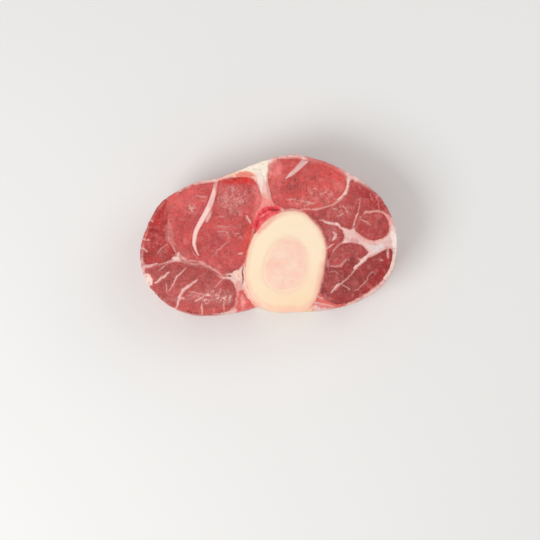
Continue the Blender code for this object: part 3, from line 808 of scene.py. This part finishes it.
WEB_TOUCHES = [  # colour, width and strength of each touch, and the points in mm that it passes through
    ("#feeedc", 9, 1, (-16, 33), (-6, 35), (-2.5, 34), (-2, 27), (-1.8, 22)),
    ("#f8c8ac", 2, 0.85, (-20, 29.6), (-13, 30.7), (-8.5, 30.7), (-6, 28.6)),
    ("#d94a3f", 1, 0.6, (-19, 28.4), (-13, 29.3), (-9, 29.4)),
    (PINKISH_WHITE, 3, 0.7, (-5, 31), (-3.4, 27), (-2.4, 22)),
    ("#f3bdb4", 3, 0.85, (-2, 27), (-1.6, 22), (-1.8, 18)),
    ("#e3968c", 1.3, 0.85, (0.2, 36), (-0.3, 31), (-0.5, 26), (-0.3, 21), (0.5, 18)),
    ("#ec8574", 2.4, 0.95, (-16, 30), (-10.5, 30.5), (-7.6, 29.6)),
    ("#d6c8b2", 0.8, 0.5, (-8, 32.8), (-4.4, 32.4), (-2.5, 29.5), (-1.7, 25)),
    (SALMON, 1.6, 0.7, (-6.6, 28), (-5, 24), (-4.2, 20)),
    ("#f0a898", 4, 0.7, (-2.6, 20.5), (-0.4, 18.4)),
    (SALMON, 4.6, 0.85, (-3, 18.6), (-2.2, 13)),
    (SALMON, 4, 0.85, (0.6, 17.2), (1.6, 14)),
    (SALMON, 2.4, 0.85, (-4.4, 16), (-5.4, 9), (-6.8, 3)),
    ("#fbd0be", 3.4, 0.9, (-17.6, -18.4), (-15.2, -20), (-14.6, -23)),
    ("#fbc8b0", 1.6, 0.8, (-12.4, -16), (-11.6, -22), (-11, -27)),
    ("#e29f94", 2.8, 0.85, (-15.4, -23), (-14.2, -27)),
    (TIP_FLESH, 4.5, 0.95, (-14, -28.5), (-13.2, -36)),
    (TIP_FLESH, 4, 0.95, (-12.5, -28), (-8, -35.5)),
    (TIP_FLESH, 3, 0.9, (-16, -38.5), (-11, -37.4), (-7, -35.8)),
    ("#f59288", 3.2, 0.85, (-13.2, -30), (-12.6, -36.6)),
    ("#fbb5a4", 2, 0.9, (-12, -26.5), (-10.8, -30), (-8.3, -33.4), (-5, -36)),
    ("#e28a84", 0.8, 0.85, (-16, -24), (-15.4, -29), (-16, -34), (-18, -38)),
    ("#b98a7c", 0.6, 0.5, (-15.4, -19.6), (-14.4, -21.4)),
    ("#b98a7c", 0.5, 0.6, (-13.2, -24.4), (-12.9, -27.4)),
    ("#dc5a53", 3, 0.9, (21.5, -31), (26, -33), (33, -35.5), (40, -36.2)),
    ("#d8605c", 1.6, 0.85, (25, -29.6), (29, -31.4)),
    ("#f3a99c", 1.6, 0.8, (22.4, -30.6), (21.6, -34), (22.4, -37.4)),
    ("#df7a76", 1.6, 0.9, (22, -34.6), (28, -35.8), (36, -36.6)),
    (THIN_FASCIA, 0.7, 0.8, (22.5, -33.6), (28, -34.7), (33, -35.8)),
    ("#e9bdb8", 0.9, 0.8, (22.5, -36.5), (28, -37.3), (35, -37)),
    (THIN_FASCIA, 0.6, 0.7, (-44.5, -11), (-40.6, -13), (-35.5, -13), (-30, -15.4), (-27, -17.1)),
    (THIN_FASCIA, 0.5, 0.6, (-43, -13), (-38, -14.6), (-34, -14.3), (-29.5, -16.6)),
    ("#e7aaa2", 0.7, 0.75, (-30, -15.8), (-27, -17.5), (-23, -20.3)),
    ("#fbdacd", 1.8, 0.9, (-61.9, -20), (-60.2, -24.4)),
    (WHITE_FASCIA, 1.5, 0.9, (-48, -11.9), (-45.6, -11.4), (-44.8, -12.3)),
    (WHITE_FASCIA, 0.8, 0.8, (-45.6, -11.4), (-45, -8.5)),
    ("#e9b4b3", 1.3, 0.8, (-63.7, -16), (-59, -15.2), (-55.7, -14)),
    (WHITE_FASCIA, 0.8, 0.8, (28, 7), (32.6, 5.6), (34.6, 5.2)),
    ("#f8d4cc", 1.8, 0.95, (33.6, 5.8), (34.6, 5.2)),
    (WHITE_FASCIA, 1, 0.85, (34, 5.6), (36.4, 3.6), (38, 2)),
    (WHITE_FASCIA, 1.1, 0.9, (53.6, -7), (49.4, -10.6), (43.8, -15.8)),
    ("#f3c8c1", 1.7, 0.9, (43.9, -15.4), (42.8, -16.6)),
    ("#f6cfc4", 1.3, 0.9, (40.2, 28.4), (39.6, 24.5), (38, 21), (34.5, 17.6)),
    ("#f8d8cc", 1.8, 0.8, (63.2, 3), (63.8, -5), (62.3, -14), (58, -22)),
    ("#dc6a62", 2, 0.9, (-6.4, 3.6), (-7.8, -1), (-9, -5)),
    ("#efa59c", 1.2, 0.8, (48.4, 11.6), (55.4, 12), (58.6, 10.6), (61.2, 7.6), (62.6, 4.6)),
    ("#f0aaa2", 0.9, 0.7, (44, 1.1), (48, -2.4), (53, -3.8), (58.4, -1.3)),
    ("#e6d8d6", 2.8, 0.8, (50.6, -5.4), (54, -7), (57.4, -4.6)),
    ("#fbece2", 2.6, 0.8, (61.4, 1.5), (62.8, -2.5), (62.8, -6)),
    ("#fbc6b2", 1.8, 0.9, (-10.6, -27), (-8.6, -30.6), (-6, -33.4), (-3.4, -35.4)),
]
FAINT_SEAMS = [  # width, strength and points in mm of the seams where less fascia shows than elsewhere
    (4, 0.85, (-63, -20), (-58.5, -27.5), (-49, -36), (-36, -40.5), (-22, -41.2)),
    (4.4, 0.85, (19, 39.5), (30, 34), (38, 29.4)),
    (4.4, 0.9, (42, 26.4), (50, 21.5), (56.5, 15), (60.5, 9)),
    (3.6, 0.85, (-64.4, -12), (-64, -6), (-62, 3), (-56, 14), (-50, 22), (-42, 29), (-34, 31)),
    (4, 1, (17.5, 12), (21.5, 10.5), (25, 7)),
    (3, 0.9, (38.5, -11), (42.5, -11.5), (45.5, -13.5)),
    (3, 0.85, (34, -8), (31.5, -12), (30.5, -15.5)),
    (3, 0.8, (43.8, 4.8), (44.6, 8), (47.5, 10.6)),
    (3, 0.55, (-50, -12), (-46, -9.5), (-43.5, -12)),
    (4, 1, (-44, 28), (-48, 20), (-50.4, 12), (-50.9, 5), (-50.6, 0)),
    (2.8, 0.65, (-50.8, -1), (-50, -4), (-47.6, -9)),
    (3.4, 0.9, (-43.8, -12.6), (-38, -14), (-33, -14.8), (-29.5, -16.3), (-25.5, -18.9), (-21.5, -20.5)),
    (3, 0.5, (-64, -15.6), (-57, -14), (-51, -11.5)),
    (3, 0.2, (45.5, 9), (49, 11.2), (54, 11.2), (58, 9)),
    (2.6, 0.3, (36, -5), (33.5, -9), (31.5, -13)),
    (2.6, 0.45, (29, -14), (35, -14.5), (40, -10)),
    (3, 1, (-7.5, 0), (-11.8, -10), (-12.4, -13)),
    (2.4, 0.8, (20, 9.5), (26, 3), (28.8, -4), (28.8, -14), (26, -30)),
    (5, 1, (-7, -33), (2, -37.6), (12, -39.4), (22, -37.4)),
]
# the slits are sunk and also painted dark: painted shade
CLEFTS = [  # the same for the dark slits that open between the bone, the fat and the meat
    (0.45, 1, (-12.7, -15.2), (-13, -19), (-12.7, -22.4), (-12.9, -24.6)),
    (0.55, 1, (-20.4, -20.3), (-18.4, -20.6)),
]


def refine(solid, outer):
    """Cuts a solid's faces and outer skin step by step into small triangles, and leaves its walls tall."""
    for halving in range(8, -1, -1):
        step = FACE_STEP * 1.4**halving
        under_step = step * 1.5
        long_edges = []
        for edge in solid.edges:
            start, end = edge.verts
            if start[outer] == 1 and end[outer] == 1:
                if edge.calc_length() > max(step, SKIN_STEP):
                    long_edges.append(edge)
            elif abs(start.co.z - end.co.z) < LEVEL_RISE:
                if (start.co.xy - end.co.xy).length > (step if start.co.z > HALF_THICKNESS else under_step):
                    long_edges.append(edge)
        bmesh.ops.subdivide_edges(solid, edges=long_edges, cuts=1)
        bmesh.ops.triangulate(solid, faces=solid.faces[:])


# Fascia and fat: greasy and translucent, so it is soft to look at, with fine fibres across its face.
FASCIA_FIBRE = 0.8 * MM  # coarser than the real fibres, which wouldn't show
FAT_LOBULE = 2.4 * MM
fascia_stuff, tree, shader = damp_stuff("fascia_and_fat", {
    "IOR": 1.45, "Subsurface Weight": 0.15, "Subsurface Radius": (1, 0.4, 0.25), "Subsurface Scale": 1 * MM,
    "Coat Weight": 0.12, "Coat Roughness": 0.25,
})
toned = cut_fibres(tree)[0]
place = add(tree, "TexCoord", {}).outputs["Object"]
along_shin = add(tree, "Mapping", {"Vector": place, "Scale": (1, 1, 0.5)}).outputs[0]
fibres = add(tree, "TexNoise", {"Vector": along_shin, "Scale": 1 / FASCIA_FIBRE, "Detail": 4}).outputs[0]
lobules = add(tree, "TexVoronoi", {"Vector": along_shin, "Scale": 1 / FAT_LOBULE}, feature="SMOOTH_F1")
shade = add(tree, "MapRange", {0: fibres, 1: 0.3, 2: 0.7, 3: 0.9, 4: 1.08})
toned = add(tree, "HueSaturation", {"Value": shade.outputs[0], "Color": toned})
gloss = add(tree, "MapRange", {0: fibres, 3: 0.3, 4: 0.5})
tree.links.new(gloss.outputs[0], shader.inputs["Roughness"])
relief = summed(tree, fibres, (lobules.outputs["Distance"], -0.8))
surface(tree, shader, toned.outputs["Color"], relief, 0.35, 0.2 * MM)

solid = merged_solid("fascia")
outer = solid.verts.layers.float.new("outer")
for vert in solid.verts:
    if SKIN_CORNERS[0] < vert.co.z < SKIN_CORNERS[1]:
        for edge in vert.link_edges:
            edge.other_vert(vert)[outer] = 1
refine(solid, outer)
walled = solid.verts.layers.float.new("walled")
for edge in solid.edges:
    start, end = edge.verts
    if abs(start.co.z - end.co.z) > HALF_THICKNESS:
        start[walled] = end[walled] = 1
web = new_piece("fascia_web", solid)
web.data.shade_smooth()

vessels_line = outline("vessels")
flesh_line = np.concatenate([outline(node) for node in MUSCLES])
held_line = np.concatenate([flesh_line, bone_line, vessels_line])
beside_spots = np.concatenate([places[:, :2] for places, _ in beside_web])
beside_colours = np.concatenate([tones for _, tones in beside_web])
spots, facing = skin_of(web)
uneven = (spots + frayed(spots)) / 2
marks = {}
for name in ("outer", "walled"):
    marks[name] = np.empty(len(spots))
    web.data.attributes[name].data.foreach_get("value", marks[name])
    web.data.attributes.remove(web.data.attributes[name])
on_skin = marks["outer"] == 1
pocket = ((marks["walled"] == 1) | (nearest(spots, held_line)[0] < WALL_NEAR)) & ~on_skin
from_held = nearest(uneven, held_line)[0]
from_bone = nearest(uneven, bone_line)[0]
from_flesh = nearest(uneven, flesh_line)[0]


def widest_near(spots, widths, reach):
    """The largest of the widths at the spots that lie within reach of each spot, seen from above."""
    tree = seen_from_above(spots)
    found = (tree.find_range((x, y, 0), reach) for x, y in spots[:, :2])
    return np.array([max(widths[near[1]] for near in all_near) for all_near in found])


lean_colours = beside_colours[nearest(uneven, beside_spots)[1]]
bone_colours = np.tile(linear(BONE_CREAM), (len(spots), 1))
blend(bone_colours, ramp(spots[:, 1], -8 * MM, -40 * MM) * 0.6, BONE_WARM)
bone_gap = nearest(spots, bone_line)[0]
bony = 0.9 * ramp(bone_gap, 0.8 * MM, 0.2 * MM)
bony = np.maximum(bony, ramp(spots[:, 1], -33.5 * MM, -35.5 * MM) * ramp(bone_gap, 4 * MM, 2 * MM))
blend(bone_colours, 0.35 + 0.5 * ramp(spots[:, 1], -36 * MM, -33 * MM), BONE_SKIN_PINK)
lean_colours += bony[:, None] * (bone_colours - lean_colours)
half_width = widest_near(spots, from_held, 1 * MM)
thick = ramp(half_width, 0.9 * MM, 1.5 * MM)
white = np.tile(linear(THIN_FASCIA), (len(spots), 1))
blend(white, thick * ramp(from_held, 0.3 * MM, 1.1 * MM), WHITE_FASCIA)
mottles = noise(spots * ALONG_FIBRE, 2.2, 41) + 0.5 * noise(spots * ALONG_FIBRE, 1, 48)
blend(white, thick * ramp(mottles, 0, 0.9) * 0.7, VEINED_PINK)
line_edge = (half_width - LINE_HALF) * (1 - thick) + 0.25 * MM * thick
showing = ramp(from_held - line_edge, -0.22 * MM, 0.22 * MM) * (0.85 + 0.15 * noise(spots, 2, 49))
showing *= thick + (1 - thick) * (0.78 + 0.3 * noise(spots, 4, 54))
showing *= 1 - drawn(uneven, FAINT_SEAMS)
colours = lean_colours + showing[:, None] * (white - lean_colours)
touch(colours, spots, WEB_TOUCHES)
# the vessels' colours spread onto the web beside them, their painted highlights and shade included
lumps = bloody(colours, spots, ramp(nearest(uneven, vessels_line)[0], 1.9 * MM, 1.1 * MM))
# painted shade in the slits, which are sunk below as well
shaded_slit = drawn(uneven, CLEFTS)
blend(colours, shaded_slit, CLEFT_SHADE)

side = on_skin * ramp(cut_face(spots) - spots[:, 2], 1.6 * MM, 2.8 * MM)
veil = 0.4 + 0.5 * noise(spots, (8, 8, 10), 42)
threads = 0.1 * noise(spots, (1.2, 1.2, 3), 47)
veil += 0.2 * noise(spots, (3, 3, 6), 43) + threads
lobes = noise(spots, (5, 5, 6), 50) + 0.5 * noise(spots, 2, 53)
sway = noise(spots, (6, 6, 8), 55) * 1.6 * MM
fatty = ramp(from_flesh + sway, 1 * MM, 3.6 * MM)
blend(colours, side, RED_BELOW_SKIN)
blend(colours, side * (0.12 + 0.6 * ramp(veil, 0, 1.1)), SILVERSKIN)
blend(colours, side * ramp(lobes, 0.1, 1.3) * 0.6, PINKISH_WHITE)
blend(colours, side * fatty * (0.65 + 0.3 * lobes), PINKISH_WHITE)
near_bone = ramp(from_bone + 1.5 * sway, 7 * MM, 2.5 * MM)
blend(colours, side * ramp(from_flesh, 1 * MM, 3 * MM) * near_bone * (0.75 + 0.2 * lobes), BONE_FILM)
stain(web, colours)
paint(web, "lean", (1 - showing) * (1 - side) * (1 - bony) * ramp(from_flesh, 1.5 * MM, 0.6 * MM))

sideways = facing[:, :2] / np.maximum(np.linalg.norm(facing[:, :2], axis=1), 0.001)[:, None]
film = ramp(spots[:, 1], *FILM_FRONT) * ramp(bone_gap, 4 * MM, 2 * MM)
spots[pocket, :2] += sideways[pocket] * POCKET_CLOSING
inside = (spots[:, 2] > HALF_THICKNESS) & ~on_skin
rise = 0.6 + 0.1 * thick + 0.3 * ramp(from_bone, 1.6 * MM, 0.4 * MM) - 0.6 * film
rise += 0.08 * noise(spots, 1.8, 44) * ramp(from_held, 0.2 * MM, 0.9 * MM) - 0.8 * shaded_slit
spots[inside, 2] += rise[inside] * MM
creases = 0.12 * noise(spots, (2, 2, 7), 46)
wrinkles = 0.5 * noise(spots, (9, 9, 14), 45) + creases
spots += facing * (on_skin * (wrinkles + 0.15 * ramp(lobes, 0.3, 0.9) - 0.3))[:, None] * MM
spread = RIM_SPREAD * ramp(spots[:, 2], 15 * MM, 25 * MM) * ramp(sideways[:, 1], -0.9, 0)
spots[:, :2] += sideways * (marks["outer"] * spread)[:, None]
reshape(web, wandered(spots))
web.data.set_sharp_from_angle(angle=math.radians(40))
lay(web, "fascia", fascia_stuff)

# Floor: a plain pale board, which isn't part of the slice.
FLOOR_HALF = 3
level = bmesh.new()
bmesh.ops.create_grid(level, x_segments=1, y_segments=1, size=FLOOR_HALF)
floor = new_piece("floor", level)
floor_stuff = damp_stuff("pale_board", {"Base Color": linear("#e9e8e6"), "Roughness": 0.85})[0]
floor.data.materials.append(floor_stuff)

# Camera: the slice is seen from almost straight above, with 270 mm of its cut face across the picture.
PICTURE_WIDTH = 270 * MM
LENS = 85
SENSOR = 36
ELEVATION = math.radians(87.5)
target = Vector((0.75, -17.5, 30)) * MM
to_camera = Vector((0, -math.cos(ELEVATION), math.sin(ELEVATION)))
camera = bpy.data.objects.new("camera", bpy.data.cameras.new("camera"))
camera.data.lens = LENS
camera.data.sensor_width = SENSOR
camera.data.clip_start = 0.01
camera.location = target + to_camera * PICTURE_WIDTH * LENS / SENSOR
camera.rotation_euler = (-to_camera).to_track_quat("-Z", "Y").to_euler()
bpy.context.scene.collection.objects.link(camera)
bpy.context.scene.camera = camera

# Light: a broad soft lamp from the front left, a weaker one from the back right, pale light all round.
for name, place, size, power in (
    ("key", (-0.5, -0.4, 0.65), 0.5, 4.6),
    ("fill", (0.6, 0.35, 0.5), 0.6, 1.6),
):
    lamp = bpy.data.lights.new(name, "AREA")
    lamp.size = size
    lamp.energy = power
    holder = bpy.data.objects.new(name, lamp)
    holder.location = place
    holder.rotation_euler = (-Vector(place)).to_track_quat("-Z", "Y").to_euler()
    bpy.context.scene.collection.objects.link(holder)
world = bpy.data.worlds.new("pale_room")
world.use_nodes = True
world.node_tree.nodes["Background"].inputs["Color"].default_value = (1, 1, 1, 1)
world.node_tree.nodes["Background"].inputs["Strength"].default_value = 0.55
bpy.context.scene.world = world
bpy.context.scene.view_settings.view_transform = "Standard"
